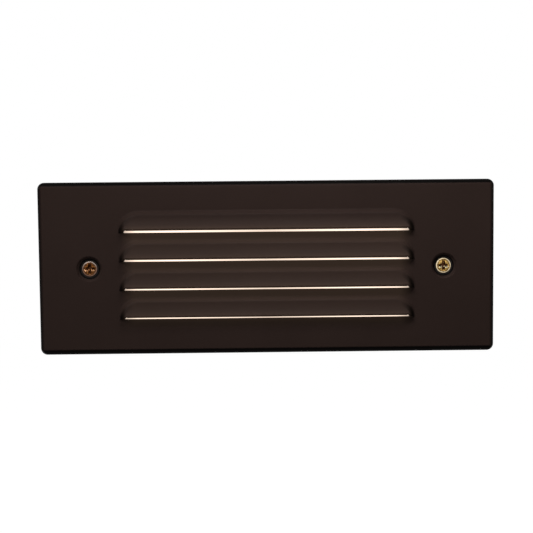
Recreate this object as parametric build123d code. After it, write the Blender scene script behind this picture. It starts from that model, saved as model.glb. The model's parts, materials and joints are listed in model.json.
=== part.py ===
from build123d import *
import math
import os

# A recessed louvered step light: a pressed faceplate in front of the wall, a cast box in the wall.
# Millimetres. X runs along the faceplate, Y runs into the wall and Z is up.
# The origin is the middle of the wall plane, where the flange of the box meets the wall.

# ---- faceplate -------------------------------------------------------------
plate_width = 234.95
plate_height = 88.9
plate_sheet = 1.6
plate_corner_radius = 3.5
plate_edge_radius = 3.0
plate_rim_gap = 0.4  # between the folded rim and the wall
past = 1.0  # how far a cutting body runs past the face that it cuts
hair = 1e-3  # a length that counts as nothing

# ---- louver hoods pressed out of the faceplate -----------------------------
louver_count = 4
louver_screw_gap = 15.0  # from the end of a hood to the line of the faceplate screws
louver_top_margin = 15.665  # from the top of the plate to the crest of the first hood
louver_bottom_margin = 18.405  # from the bottom of the plate to the lowest cut edge
louver_strip = 4.01  # flat strip between a cut edge and the next hood's crest
louver_lip_gap = 1.3  # how far the lip stays above the cut edge
louver_lip_lift = 4.8  # how far the lip stands out of the plate
louver_crest_lift = 3.5  # how far the upper end of the hood's face stands out
louver_corner_radius = 7.0
louver_side_angle = 27.5  # degrees that the hood's sides lean inwards
louver_bend_radius = 1.5
louver_inner_bend_radius = 0.5
louver_draw_spare = 2.0  # how far a hood's body is drawn past its face before it is cut

# ---- faceplate screws and the dimples that they sit in ---------------------
face_screw_edge = 26.175  # from the end of the plate to the middle of a screw
face_screw_length = 19.05
face_screw_radius = 2.08
face_screw_head_radius = 4.18
face_screw_dome = 0.55
face_screw_point_inset = 0.6
face_screw_point_length = 0.9
face_screw_recess_depth = 2.3
face_screw_recess_width = 1.0
recess_reach_share = 0.55  # reach of a cross recess as a share of the head's radius
recess_foot_share = 0.35  # of that reach that is left at the bottom of the recess
dome_middle_share = 0.75  # height of a screw's dome halfway out to its rim
countersink_angle = 82.0
dimple_radius = 6.3
dimple_depth = 1.9  # from the plate's face down to the rim of the screw's head
dimple_seat_radius = 4.9
dimple_hole_radius = 2.55
dimple_wall = 1.3
dimple_brim = 1.4  # width of the slope from the plate's back to the back of the dimple
dimple_shoulder = 0.5  # how far that slope ends behind the rim of the screw's head
dimple_bowl_radius = 2.4
seal_clearance = 0.05
seal_end_gap = 0.15

# ---- gasket between faceplate and box --------------------------------------
gasket_thickness = 2.8
gasket_step = 1.0  # how far the gasket stays outside the mouth of the box
gasket_screw_hole_radius = 4.0

# ---- lens, its gasket and its clips ----------------------------------------
lens_side_lap = 3.7  # how far the glass reaches past the ends of the hoods
lens_end_lap = 2.215  # how far it reaches past the crest of the first hood
lens_thickness = 3.2
lens_corner_radius = 4.0
lens_bevel = 0.4
lens_gasket_thickness = 1.5
lens_gasket_side_lap = 3.0
lens_gasket_top_lap = 2.5
clip_sheet = 1.0
clip_width = 10.0
clip_reach = 6.0  # how far the clip's finger lies over the glass
clip_edge_gap = 0.6  # between the edge of the glass and the clip's riser
clip_foot_length = 10.0
clip_from_end = 11.0  # from the end of the glass to the middle of a clip
stud_radius = 1.75
stud_length = 6.8
stud_hole_clearance = 0.1
stud_from_riser = 4.9
nut_across_flats = 7.94
nut_height = 2.9

# ---- back box --------------------------------------------------------------
box_depth = 69.85
box_wall = 2.5
box_corner_radius = 5.0
flange_side_margin = 3.475  # from the end of the plate to the end of the flange
flange_end_margin = 3.45  # from the top of the plate to the top of the flange
flange_side_lip = 10.8  # how far the flange stands out past the ends of the box
flange_end_lip = 6.075  # how far it stands out above and below the box
flange_thickness = 2.0
flange_corner_radius = 4.0
flange_hole_side = 6.0  # from the end of the flange to the middle of a hole
flange_hole_end = 11.0  # from the top of the flange to the middle of a hole
flange_hole_radius = 2.25
face_boss_radius = 5.5
face_boss_length = 23.0
face_boss_web = 7.0
face_boss_gap = 0.6  # between the back of the dimple and the boss
face_thread_clearance = 0.07
face_thread_spare = 3.5  # hole left beyond the tip of the screw
conduit_from_back = 24.85  # centre of the conduit entries in front of the back of the box
conduit_bore_radius = 9.9
conduit_hub_radius = 14.0
conduit_hub_length = 12.0
conduit_plug_length = 10.0
conduit_plug_recess = 0.5
conduit_plug_hex = 9.5
conduit_plug_hex_depth = 6.0
thread_clearance = 0.05

# ---- reflector -------------------------------------------------------------
reflector_sheet = 1.0
reflector_front = 4.0  # front of the reflector's rim behind the wall plane
reflector_depth = 27.0
reflector_side_gap = 18.7  # from the mouth of the reflector to the end wall of the box
reflector_end_gap = 3.425  # from the mouth of the reflector to the top wall of the box
reflector_side_lean = 10.0  # how much further in the back of each end lies than its front
reflector_end_lean = 9.0  # the same at the top and bottom
reflector_rim = 2.4
reflector_corner_radius = 5.0

# ---- socket bracket, its screws and the pillars behind it ------------------
bracket_sheet = 1.2
bracket_half_length = 16.6
bracket_half_height = 11.0
bracket_ear_gap = 1.0  # from the ear to the wall of the reflector
bracket_ear_half_width = 7.0
bracket_screw_from_end = 4.0
bracket_screw_radius = 1.75
bracket_screw_length = 14.0
bracket_screw_head_radius = 3.4
bracket_screw_head_height = 2.0
bracket_screw_recess_depth = 1.5
bracket_screw_recess_width = 0.9
pillar_radius = 4.0
pillar_hole_spare = 3.0

# ---- lampholders -----------------------------------------------------------
lamp_axis_depth = 16.0  # lamp axis behind the wall plane
holder_flange = 2.5
holder_length = 13.9
holder_depth = 15.0
holder_height = 13.0
holder_flange_height = 22.0
holder_edge_radius = 2.0
pocket_length = 8.6
pocket_height = 10.2
pocket_half_depth = 1.95
contact_sheet = 0.4
contact_height = 7.0
contact_length = 8.0
contact_end_gap = 0.3
rivet_radius = 1.2
rivet_head_radius = 2.2
rivet_head_height = 0.8
rivet_spacing_z = 18.0

# ---- wedge-base lamps ------------------------------------------------------
bulb_radius = 7.95
bulb_length = 29.0
bulb_wall = 0.8
bulb_shoulder = 3.5
bulb_neck_radius = 5.2
wedge_width = 9.4
wedge_thickness = 2.1
wedge_length = 8.4
wedge_collar = 1.2
wedge_corner_radius = 1.5
lamp_gap = 0.5  # between the lamp's collar and the lampholder's face
lamp_lead_width = 0.7
lamp_lead_thickness = 0.35
lamp_lead_length = 7.0
lamp_lead_offset = 2.4
filament_support_radius = 0.25
filament_support_spacing = 6.0
filament_height = 13.5
filament_coil_radius = 0.6
filament_coil_overhang = 0.5

# ---- leads and grommets ----------------------------------------------------
lead_radius = 1.1
lead_spacing = 3.2
lead_entry_depth = 3.0  # how far a lead goes into the lampholder
lead_hole_clearance = 0.05
lead_step = 3.0  # between the two layers of leads
lead_bend_share = 0.45  # of the shorter straight run that the arc at a corner takes
lead_drop_share = 0.45  # of the depth behind the grommet where a lead starts to turn
lead_near_step = 6.0  # sideways step of the leads that turn straight to the terminal block
lead_far_step = 14.0  # sideways step of the leads that come from the other end
lead_end_gap = 1.5  # from the end of the insulation to the clamp
copper_radius = 0.55
copper_length = 6.0
grommet_radius = 4.6
grommet_groove_radius = 3.6
grommet_lip = 1.5

# ---- terminal block --------------------------------------------------------
terminal_reach = 31.95  # from the left leads to the middle of the terminal block
terminal_length = 24.0
terminal_height = 19.0
terminal_depth = 14.0
terminal_pole_spacing = 9.0
terminal_pad = 3.0
terminal_edge = 0.8
clamp_length = 16.0
clamp_height = 5.8
clamp_depth = 8.8
clamp_slot_height = 3.4
clamp_slot_depth = 6.6
clamp_clearance = 0.1
clamp_screw_radius = 1.5
clamp_screw_head_radius = 2.0
clamp_screw_spacing = 9.0
clamp_screw_length = 3.6
clamp_screw_head_height = 1.6
clamp_screw_slit = 0.6
block_screw_radius = 1.45
block_screw_head_radius = 2.7
block_screw_head_height = 1.8
block_screw_sink = 0.4
block_screw_recess_depth = 1.3
block_screw_recess_width = 0.7

# ---- ground screw ----------------------------------------------------------
ground_from_wall = 55.7  # from the right end wall of the box to the middle of the screw
ground_boss_radius = 5.5
ground_boss_height = 7.0
ground_screw_radius = 2.4
ground_screw_length = 6.5
ground_washer_radius = 5.2
ground_washer_height = 1.0
ground_hex = 7.9
ground_hex_height = 3.6
ground_slit = 1.2

# ---- places worked out from the sizes above --------------------------------
plate_back = -flange_thickness - gasket_thickness
plate_front = plate_back - plate_sheet
louver_field = plate_height - louver_top_margin - louver_bottom_margin
louver_pitch = (louver_field + louver_strip) / louver_count
louver_height = louver_pitch - louver_strip
louver_top_crest = plate_height / 2 - louver_top_margin
louver_top_cut = louver_top_crest - louver_height
face_screw_spacing = plate_width - 2 * face_screw_edge
louver_width = face_screw_spacing - 2 * louver_screw_gap
louver_wall_angle = math.radians(90 - louver_side_angle)
louver_inner_inset = plate_sheet * math.tan(louver_wall_angle / 2)
cone_spread = math.tan(math.radians(countersink_angle / 2))
head_rim = plate_front + dimple_depth
head_cone_height = (face_screw_head_radius - face_screw_radius) / cone_spread
dimple_cone_height = (dimple_seat_radius - dimple_hole_radius) / cone_spread
dimple_back = head_rim + dimple_cone_height
face_screw_tip = head_rim + face_screw_length
face_boss_front = dimple_back + face_boss_gap
flange_width = plate_width - 2 * flange_side_margin
flange_height = plate_height - 2 * flange_end_margin
flange_hole_spacing_x = flange_width - 2 * flange_hole_side
flange_hole_spacing_z = flange_height - 2 * flange_hole_end
box_width = flange_width - 2 * flange_side_lip
box_height = flange_height - 2 * flange_end_lip
box_floor = box_depth - box_wall
mouth_width = box_width - 2 * box_wall
mouth_height = box_height - 2 * box_wall
lens_width = louver_width + 2 * lens_side_lap
lens_height = 2 * (louver_top_crest + lens_end_lap)
clip_spacing_z = lens_height - 2 * clip_from_end
lens_front = plate_back + lens_gasket_thickness
lens_back = lens_front + lens_thickness
riser_x = lens_width / 2 + clip_edge_gap
stud_x = riser_x + clip_sheet + stud_from_riser
clip_foot_back = plate_back + clip_sheet
conduit_depth = box_depth - conduit_from_back
conduit_inner_x = box_width / 2 - conduit_hub_length
reflector_mouth_width = mouth_width - 2 * reflector_side_gap
reflector_mouth_height = mouth_height - 2 * reflector_end_gap
reflector_back_width = reflector_mouth_width - 2 * reflector_side_lean
reflector_back_height = reflector_mouth_height - 2 * reflector_end_lean
reflector_back = reflector_front + reflector_depth
bracket_back = reflector_back - reflector_sheet
bracket_front = bracket_back - bracket_sheet
bracket_end_front = lamp_axis_depth - holder_depth / 2
bracket_ear_half_height = reflector_back_height / 2 - reflector_sheet - bracket_ear_gap
bracket_screw_spacing_z = 2 * (bracket_ear_half_height - bracket_screw_from_end)
holder_start = bracket_half_length
holder_end = holder_start + holder_flange + holder_length
lamp_collar_x = holder_end + lamp_gap
bulb_start = lamp_collar_x + wedge_collar
bulb_tip = bulb_start + bulb_length
holder_back = lamp_axis_depth + holder_depth / 2
lead_x = holder_start + holder_flange + holder_length / 2
grommet_back = reflector_back + grommet_lip
terminal_x = -lead_x - terminal_reach
ground_x = mouth_width / 2 - ground_from_wall
terminal_back = box_floor - terminal_pad
terminal_front = terminal_back - terminal_depth
clamp_middle = (terminal_front + terminal_back) / 2
ground_front = box_floor - ground_boss_height
SIDES = {"left": -1, "right": 1}


# ---- shapes used by several parts ------------------------------------------
def facing_plane(y, x=0.0, z=0.0):
    """The upright plane at depth y whose normal points out of the wall."""
    return Plane(origin=(x, y, z), x_dir=(1, 0, 0), z_dir=(0, -1, 0))


def block(x0, x1, y0, y1, z0, z1):
    """A box between two corners, given in either order."""
    middle = ((x0 + x1) / 2, (y0 + y1) / 2, (z0 + z1) / 2)
    return Pos(*middle) * Box(abs(x1 - x0), abs(y1 - y0), abs(z1 - z0))


def slab(width, height, corner, y0, y1, x=0.0, z=0.0):
    """A plate with rounded corners between depths y0 and y1."""
    outline = RectangleRounded(width, height, corner)
    return extrude(facing_plane(y1, x, z) * outline, amount=y1 - y0)


def rod_y(x, z, y0, y1, radius):
    """A round bar that runs into the wall."""
    return extrude(facing_plane(y1, x, z) * Circle(radius), amount=y1 - y0)


def rod_x(x0, x1, y, z, radius):
    """A round bar that runs along the faceplate."""
    low, high = sorted((x0, x1))
    start = Plane(origin=(low, y, z), x_dir=(0, 1, 0), z_dir=(1, 0, 0))
    return extrude(start * Circle(radius), amount=high - low)


def hexagon_y(x, z, y0, y1, across_flats):
    """A hexagonal bar that runs into the wall."""
    outline = RegularPolygon(across_flats / 2, 6, major_radius=False)
    return extrude(facing_plane(y1, x, z) * outline, amount=y1 - y0)


def turned_y(x, z, points):
    """A turned body about a line that runs into the wall, from points of radius and depth."""
    outline = make_face(Polyline(*points, close=True))
    return Pos(x, 0, z) * revolve(outline, axis=Axis.Y)


def cross_recess(x, z, front, depth, head_radius, width):
    """The tool for a cross-shaped driver recess, narrowing to a point in the depth."""
    half = width / 2
    reach = head_radius * recess_reach_share
    foot = reach * recess_foot_share
    points = [(-reach, front - past), (reach, front - past), (reach, front), (foot, front + depth)]
    points += [(-foot, front + depth), (-reach, front)]
    flat = make_face(Polyline(*points, close=True))
    wing = extrude(flat, amount=half, both=True)
    cross = wing + Rot(0, 90, 0) * wing
    return Pos(x, 0, z) * cross


# ---- faceplate -------------------------------------------------------------
def louver_cuts():
    """The heights of the cut edges of the plate, from the top down."""
    return [louver_top_cut - n * louver_pitch for n in range(louver_count)]


def hood_body(cut, start, inset, height_out, shrink):
    """One hood as a solid that leans inwards from a rounded outline and is flattened by its face.

    start is the depth of the outline, inset is how far the outline lies inside the crest line,
    height_out is how far it is drawn out and shrink is how far its face lies under the outer one.
    """
    crest = cut + louver_height
    width = louver_width - 2 * inset
    height = 2 * louver_height
    outline = RectangleRounded(width, height, louver_corner_radius - inset)
    middle = crest - inset - height / 2
    drawn = extrude(facing_plane(start, 0, middle) * outline, amount=height_out, taper=louver_side_angle)
    face_top = plate_front - louver_crest_lift + shrink
    face_low = plate_front - louver_lip_lift + shrink
    lip = cut + louver_lip_gap
    slope = (face_top - face_low) / (crest - lip)
    low_end = lip - louver_height
    face_end = face_low - slope * louver_height
    points = [(start, crest), (face_top, crest), (face_end, low_end), (start, low_end)]
    side = Plane(origin=(-louver_width, 0, 0), x_dir=(0, 1, 0), z_dir=(1, 0, 0))
    wedge = extrude(side * make_face(Polyline(*points, close=True)), amount=2 * louver_width)
    return drawn & wedge


def rounded_front(solid, limit, radius):
    """Rounds the edges that lie wholly in front of a depth."""
    edges = solid.edges().filter_by(lambda e: e.bounding_box().max.Y < limit)
    return fillet(edges, radius)


def hood_outside(cut):
    drawn = hood_body(cut, plate_front, 0.0, louver_lip_lift + louver_draw_spare, 0.0)
    drawn = rounded_front(drawn, plate_front - louver_inner_bend_radius, louver_bend_radius)
    lip = cut + louver_lip_gap
    front = plate_front - 2 * louver_lip_lift
    room = block(-louver_width, louver_width, front, plate_back, lip, lip + 2 * louver_height)
    return drawn & room


def hood_inside(cut):
    drawn_height = louver_lip_lift + louver_draw_spare
    drawn = hood_body(cut, plate_back, louver_inner_inset, drawn_height, plate_sheet)
    drawn = rounded_front(drawn, plate_back - plate_sheet / 2, louver_inner_bend_radius)
    width = louver_width - 2 * louver_inner_inset
    corner = louver_corner_radius - louver_inner_inset
    middle = cut - louver_inner_inset
    back = plate_back + past
    drawn = drawn + slab(width, 2 * louver_height, corner, plate_back, back, 0, middle)
    front = plate_front - 2 * louver_lip_lift
    room = block(-louver_width, louver_width, front, back, cut, cut + 2 * louver_height)
    return drawn & room


def dimple_outside(x):
    """The back of the pressed dimple, as a filled body."""
    spread = dimple_wall / math.cos(math.radians(countersink_angle / 2))
    shoulder = dimple_seat_radius + spread
    brim = shoulder + dimple_brim
    middle = plate_front + plate_sheet / 2
    points = [(0, middle), (brim, middle), (brim, plate_back), (shoulder, head_rim + dimple_shoulder)]
    points += [(dimple_hole_radius + spread, dimple_back)]
    points += [(0, dimple_back)]
    return turned_y(x, 0, points)


def dimple_recess(x):
    """The bowl, the conical seat and the screw hole of one dimple."""
    front = plate_front - past
    back = dimple_back + past
    rim = (dimple_radius, plate_front)
    seat = (dimple_seat_radius, head_rim)
    bowl = RadiusArc(rim, seat, -dimple_bowl_radius)
    bowl += Polyline(seat, (dimple_hole_radius, dimple_back), (dimple_hole_radius, back), (0, back))
    bowl += Polyline((0, back), (0, front), (dimple_radius, front), rim)
    return Pos(x, 0, 0) * revolve(make_face(bowl), axis=Axis.Y)


def pan(width, height, corner, edge_radius, front, back):
    """A shallow tray body whose front edge is rounded."""
    body = slab(width, height, corner, front, back)
    edges = body.edges().filter_by(lambda e: e.bounding_box().max.Y < front + hair)
    return fillet(edges, edge_radius)


def faceplate():
    rim = -plate_rim_gap
    outside = pan(plate_width, plate_height, plate_corner_radius, plate_edge_radius, plate_front, rim)
    inner_width = plate_width - 2 * plate_sheet
    inner_height = plate_height - 2 * plate_sheet
    inner_corner = plate_corner_radius - plate_sheet
    inner_edge = plate_edge_radius - plate_sheet
    inside = pan(inner_width, inner_height, inner_corner, inner_edge, plate_back, past)
    plate = outside - inside
    for cut in louver_cuts():
        plate = plate + hood_outside(cut)
    for cut in louver_cuts():
        plate = plate - hood_inside(cut)
    for side in SIDES.values():
        x = side * face_screw_spacing / 2
        plate = plate + dimple_outside(x)
        plate = plate - dimple_recess(x)
    return plate


def face_screw(side):
    x = side * face_screw_spacing / 2
    dome = head_rim - face_screw_dome
    under = head_rim + head_cone_height
    tip = face_screw_tip
    rim = (face_screw_head_radius, head_rim)
    halfway = (face_screw_head_radius / 2, head_rim - face_screw_dome * dome_middle_share)
    point = (face_screw_radius - face_screw_point_inset, tip)
    shoulder = (face_screw_radius, tip - face_screw_point_length)
    outline = Polyline((0, dome), (0, tip), point, shoulder, (face_screw_radius, under), rim)
    outline += ThreePointArc(rim, halfway, (0, dome))
    body = Pos(x, 0, 0) * revolve(make_face(outline), axis=Axis.Y)
    depth = face_screw_recess_depth
    return body - cross_recess(x, 0, dome, depth, face_screw_head_radius, face_screw_recess_width)


def screw_seal(side):
    """The rubber cone between the screw's head and the seat in the dimple."""
    x = side * face_screw_spacing / 2
    radial = seal_clearance / math.cos(math.radians(countersink_angle / 2))
    top = head_rim + seal_end_gap
    low = head_rim + head_cone_height - seal_end_gap
    inner_top = face_screw_head_radius - seal_end_gap * cone_spread + radial
    inner_low = inner_top - (low - top) * cone_spread
    outer_top = dimple_seat_radius - seal_end_gap * cone_spread - radial
    outer_low = outer_top - (low - top) * cone_spread
    points = [(inner_top, top), (outer_top, top), (outer_low, low), (inner_low, low)]
    return turned_y(x, 0, points)


def flange_holes(radius, y0, y1):
    """Four round bars at the mounting holes of the flange."""
    bars = []
    for side in SIDES.values():
        x = side * flange_hole_spacing_x / 2
        for up in SIDES.values():
            bars.append(rod_y(x, up * flange_hole_spacing_z / 2, y0, y1, radius))
    return bars


def faceplate_gasket():
    outer = slab(flange_width, flange_height, flange_corner_radius, plate_back, -flange_thickness)
    inner_width = mouth_width + 2 * gasket_step
    inner_height = mouth_height + 2 * gasket_step
    inner_corner = box_corner_radius - box_wall + gasket_step
    gasket = outer - slab(inner_width, inner_height, inner_corner, plate_back - past, past)
    for bar in flange_holes(gasket_screw_hole_radius, plate_back - past, past):
        gasket = gasket - bar
    return gasket


# ---- lens on the back of the faceplate -------------------------------------
def lens():
    glass = slab(lens_width, lens_height, lens_corner_radius, lens_front, lens_back)
    edges = glass.edges().filter_by(lambda e: e.bounding_box().size.Y < hair)
    return chamfer(edges, lens_bevel)


def lens_gasket():
    outer = slab(lens_width, lens_height, lens_corner_radius, plate_back, lens_front)
    width = lens_width - 2 * lens_gasket_side_lap
    height = lens_height - 2 * lens_gasket_top_lap
    return outer - slab(width, height, lens_corner_radius / 2, plate_back - past, lens_front + past)


def clip_corners():
    """The side and height of each lens clip."""
    return [(sx, sz * clip_spacing_z / 2) for sx in SIDES.values() for sz in SIDES.values()]


def lens_clip(side, z):
    low = z - clip_width / 2
    high = z + clip_width / 2
    riser = side * riser_x
    riser_out = side * (riser_x + clip_sheet)
    foot_end = side * (riser_x + clip_foot_length)
    finger_end = side * (lens_width / 2 - clip_reach)
    foot = block(riser, foot_end, plate_back, clip_foot_back, low, high)
    upright = block(riser, riser_out, plate_back, lens_back + clip_sheet, low, high)
    finger = block(finger_end, riser_out, lens_back, lens_back + clip_sheet, low, high)
    clip = foot + upright + finger
    corner = clip.edges().filter_by(Axis.Y).filter_by(lambda e: e.length < clip_sheet + hair)
    clip = fillet(corner, clip_sheet)
    return clip - rod_y(side * stud_x, z, plate_back - past, lens_back, stud_radius + stud_hole_clearance)


def clip_stud(side, z):
    stud = rod_y(side * stud_x, z, plate_back, plate_back + stud_length, stud_radius)
    return chamfer(stud.edges().sort_by(Axis.Y)[-1], stud_radius / 4)


def clip_nut(side, z):
    x = side * stud_x
    back = clip_foot_back + nut_height
    nut = hexagon_y(x, z, clip_foot_back, back, nut_across_flats)
    return nut - rod_y(x, z, clip_foot_back - past, back + past, stud_radius + thread_clearance)


# ---- back box --------------------------------------------------------------
def face_boss(side):
    x = side * face_screw_spacing / 2
    wall_x = side * (box_width / 2 - box_wall / 2)
    end = face_boss_front + face_boss_length
    post = rod_y(x, 0, face_boss_front, end, face_boss_radius)
    web = block(x, wall_x, face_boss_front, end, -face_boss_web / 2, face_boss_web / 2)
    return post + web


def back_box():
    body = slab(box_width, box_height, box_corner_radius, -flange_thickness, box_depth)
    back_edges = body.edges().filter_by(lambda e: e.bounding_box().min.Y > box_depth - hair)
    body = fillet(back_edges, box_wall)
    flange = slab(flange_width, flange_height, flange_corner_radius, -flange_thickness, 0.0)
    inner_corner = box_corner_radius - box_wall
    cavity = slab(mouth_width, mouth_height, inner_corner, -flange_thickness - past, box_floor)
    box = body + flange - cavity
    for side in SIDES.values():
        hub_in = side * conduit_inner_x
        hub_out = side * (box_width / 2 - box_wall / 2)
        box = box + face_boss(side)
        box = box + rod_x(hub_in, hub_out, conduit_depth, 0, conduit_hub_radius)
        bore_in = hub_in - side * past
        bore_out = side * (box_width / 2 + past)
        box = box - rod_x(bore_in, bore_out, conduit_depth, 0, conduit_bore_radius)
        thread_end = face_screw_tip + face_thread_spare
        thread_radius = face_screw_radius + face_thread_clearance
        screw_x = side * face_screw_spacing / 2
        box = box - rod_y(screw_x, 0, face_boss_front - past, thread_end, thread_radius)
        pillar_z = side * bracket_screw_spacing_z / 2
        box = box + rod_y(0, pillar_z, reflector_back, box_floor + box_wall / 2, pillar_radius)
        hole_end = bracket_front + bracket_screw_length + pillar_hole_spare
        hole = bracket_screw_radius + thread_clearance
        box = box - rod_y(0, pillar_z, reflector_back - past, hole_end, hole)
    half_pad = terminal_height / 2
    pad_x = terminal_length / 2
    floor_in = box_floor + box_wall / 2
    box = box + block(terminal_x - pad_x, terminal_x + pad_x, terminal_back, floor_in, -half_pad, half_pad)
    box = box - rod_y(terminal_x, 0, terminal_back - past, floor_in, block_screw_radius + thread_clearance)
    box = box + rod_y(ground_x, 0, ground_front, floor_in, ground_boss_radius)
    box = box - rod_y(ground_x, 0, ground_front - past, floor_in, ground_screw_radius + thread_clearance)
    for bar in flange_holes(flange_hole_radius, -flange_thickness - past, past):
        box = box - bar
    return box


def conduit_plug():
    outer_x = box_width / 2 - conduit_plug_recess
    inner_x = outer_x - conduit_plug_length
    plug = rod_x(inner_x, outer_x, conduit_depth, 0, conduit_bore_radius - thread_clearance)
    mouth = Plane(origin=(outer_x + past, conduit_depth, 0), x_dir=(0, 1, 0), z_dir=(-1, 0, 0))
    outline = RegularPolygon(conduit_plug_hex / 2, 6, major_radius=False)
    return plug - extrude(mouth * outline, amount=conduit_plug_hex_depth + past)


# ---- reflector and socket bracket ------------------------------------------
def tray(grow, front, back):
    """The tapering body of the reflector, grown outwards by a wall and cut between two depths."""
    lean_x = (reflector_mouth_width - reflector_back_width) / 2 / reflector_depth
    lean_z = (reflector_mouth_height - reflector_back_height) / 2 / reflector_depth
    sections = []
    for y in (front, back):
        width = reflector_mouth_width - 2 * lean_x * (y - reflector_front) + 2 * grow
        height = reflector_mouth_height - 2 * lean_z * (y - reflector_front) + 2 * grow
        sections.append(facing_plane(y) * RectangleRounded(width, height, reflector_corner_radius + grow))
    return loft(sections, ruled=True)


def reflector():
    shell = tray(0.0, reflector_front, reflector_back)
    rim_width = reflector_mouth_width + 2 * reflector_rim
    rim_height = reflector_mouth_height + 2 * reflector_rim
    rim_corner = reflector_corner_radius + reflector_rim
    rim_back = reflector_front + reflector_sheet
    shell = shell + slab(rim_width, rim_height, rim_corner, reflector_front, rim_back)
    shell = shell - tray(-reflector_sheet, reflector_front - past, bracket_back)
    for side in SIDES.values():
        z = side * bracket_screw_spacing_z / 2
        hole = bracket_screw_radius + stud_hole_clearance
        shell = shell - rod_y(0, z, bracket_front, reflector_back + past, hole)
        shell = shell - rod_y(side * lead_x, 0, bracket_front, reflector_back + past, grommet_groove_radius)
    return shell


def socket_bracket():
    half = bracket_half_length
    tall = bracket_half_height
    base = block(-half, half, bracket_front, bracket_back, -tall, tall)
    ear_x = bracket_ear_half_width
    ear_z = bracket_ear_half_height
    base = base + block(-ear_x, ear_x, bracket_front, bracket_back, -ear_z, ear_z)
    for side in SIDES.values():
        inner = side * (half - bracket_sheet)
        base = base + block(inner, side * half, bracket_end_front, bracket_back, -tall, tall)
        z = side * bracket_screw_spacing_z / 2
        hole = bracket_screw_radius + stud_hole_clearance
        base = base - rod_y(0, z, bracket_front - past, bracket_back + past, hole)
    for side in SIDES.values():
        for up in SIDES.values():
            z = up * rivet_spacing_z / 2
            outer = side * (half + past)
            inner = side * (half - bracket_sheet - past)
            base = base - rod_x(inner, outer, lamp_axis_depth, z, rivet_radius + thread_clearance)
    return base


def bracket_screw(side):
    z = side * bracket_screw_spacing_z / 2
    head = rod_y(0, z, bracket_front - bracket_screw_head_height, bracket_front, bracket_screw_head_radius)
    head = fillet(head.edges().sort_by(Axis.Y)[0], bracket_screw_head_height / 2)
    shank = rod_y(0, z, bracket_front, bracket_front + bracket_screw_length, bracket_screw_radius)
    front = bracket_front - bracket_screw_head_height
    depth = bracket_screw_recess_depth
    width = bracket_screw_recess_width
    return head + shank - cross_recess(0, z, front, depth, bracket_screw_head_radius, width)


# ---- lampholders and lamps -------------------------------------------------
def lampholder(side):
    inner = side * holder_start
    shoulder = side * (holder_start + holder_flange)
    outer = side * holder_end
    front = lamp_axis_depth - holder_depth / 2
    foot = block(inner, shoulder, front, holder_back, -holder_flange_height / 2, holder_flange_height / 2)
    body = block(shoulder, outer, front, holder_back, -holder_height / 2, holder_height / 2)
    body = fillet(body.edges().filter_by(Axis.X), holder_edge_radius)
    holder = foot + body
    bottom = side * (holder_end - pocket_length)
    mouth = side * (holder_end + past)
    near = lamp_axis_depth - pocket_half_depth
    far = lamp_axis_depth + pocket_half_depth
    holder = holder - block(bottom, mouth, near, far, -pocket_height / 2, pocket_height / 2)
    for up in SIDES.values():
        z = up * rivet_spacing_z / 2
        hole = rivet_radius + thread_clearance
        tool = side * past
        holder = holder - rod_x(inner - tool, shoulder + tool, lamp_axis_depth, z, hole)
        lead_z = up * lead_spacing / 2
        hole = lead_radius + lead_hole_clearance
        entry = holder_back - lead_entry_depth
        holder = holder - rod_y(side * lead_x, lead_z, entry, holder_back + past, hole)
    return holder


def lampholder_contact(side, way):
    """One brass leaf on the front wall (-1) or the rear wall (1) of the lampholder's pocket."""
    outer = side * (holder_end - contact_end_gap)
    inner = outer - side * contact_length
    wall = lamp_axis_depth + way * pocket_half_depth
    return block(inner, outer, wall - way * contact_sheet, wall, -contact_height / 2, contact_height / 2)


def socket_rivet(side, up):
    z = up * rivet_spacing_z / 2
    head_in = side * (holder_start - bracket_sheet)
    head_out = side * (holder_start + holder_flange)
    shank = rod_x(head_in, head_out, lamp_axis_depth, z, rivet_radius)
    inner = rod_x(head_in - side * rivet_head_height, head_in, lamp_axis_depth, z, rivet_head_radius)
    outer = rod_x(head_out, head_out + side * rivet_head_height, lamp_axis_depth, z, rivet_head_radius)
    return shank + inner + outer


def turned_x(side, outline):
    """A body turned about the lamp axis, from a closed outline of distance along X and radius."""
    body = revolve(make_face(outline), axis=Axis.X)
    if side < 0:
        body = mirror(body, about=Plane.YZ)
    return Pos(0, lamp_axis_depth, 0) * body


def bulb_line(start, tip, radius, neck, shoulder):
    """The open outline of a bulb, from its neck to its half-round tip on the axis."""
    line = Line((start, neck), (start + shoulder, radius))
    line += Line((start + shoulder, radius), (tip - radius, radius))
    diagonal = radius * math.sin(math.pi / 4)
    line += ThreePointArc((tip - radius, radius), (tip - radius + diagonal, diagonal), (tip, 0))
    return line


def lamp_bulb(side):
    wall = bulb_wall
    inner_neck = bulb_neck_radius - wall
    outer = bulb_line(bulb_start, bulb_tip, bulb_radius, bulb_neck_radius, bulb_shoulder)
    inner = bulb_line(bulb_start, bulb_tip - wall, bulb_radius - wall, inner_neck, bulb_shoulder)
    outline = outer + Line((bulb_tip, 0), (bulb_tip - wall, 0)) + inner
    outline += Line((bulb_start, inner_neck), (bulb_start, bulb_neck_radius))
    return turned_x(side, outline)


def lamp_base(side):
    """The wedge that pushes into the lampholder, with the round foot that closes the bulb."""
    foot = rod_x(side * lamp_collar_x, side * bulb_start, lamp_axis_depth, 0, bulb_neck_radius)
    half = wedge_thickness / 2
    inner = side * (lamp_collar_x - wedge_length)
    outer = side * lamp_collar_x
    near = lamp_axis_depth - half
    far = lamp_axis_depth + half
    wedge = block(inner, outer, near, far, -wedge_width / 2, wedge_width / 2)
    corners = wedge.edges().filter_by(Axis.Y).sort_by(Axis.X)
    tip_corners = corners[:2] if side > 0 else corners[-2:]
    return fillet(tip_corners, wedge_corner_radius) + foot


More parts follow.
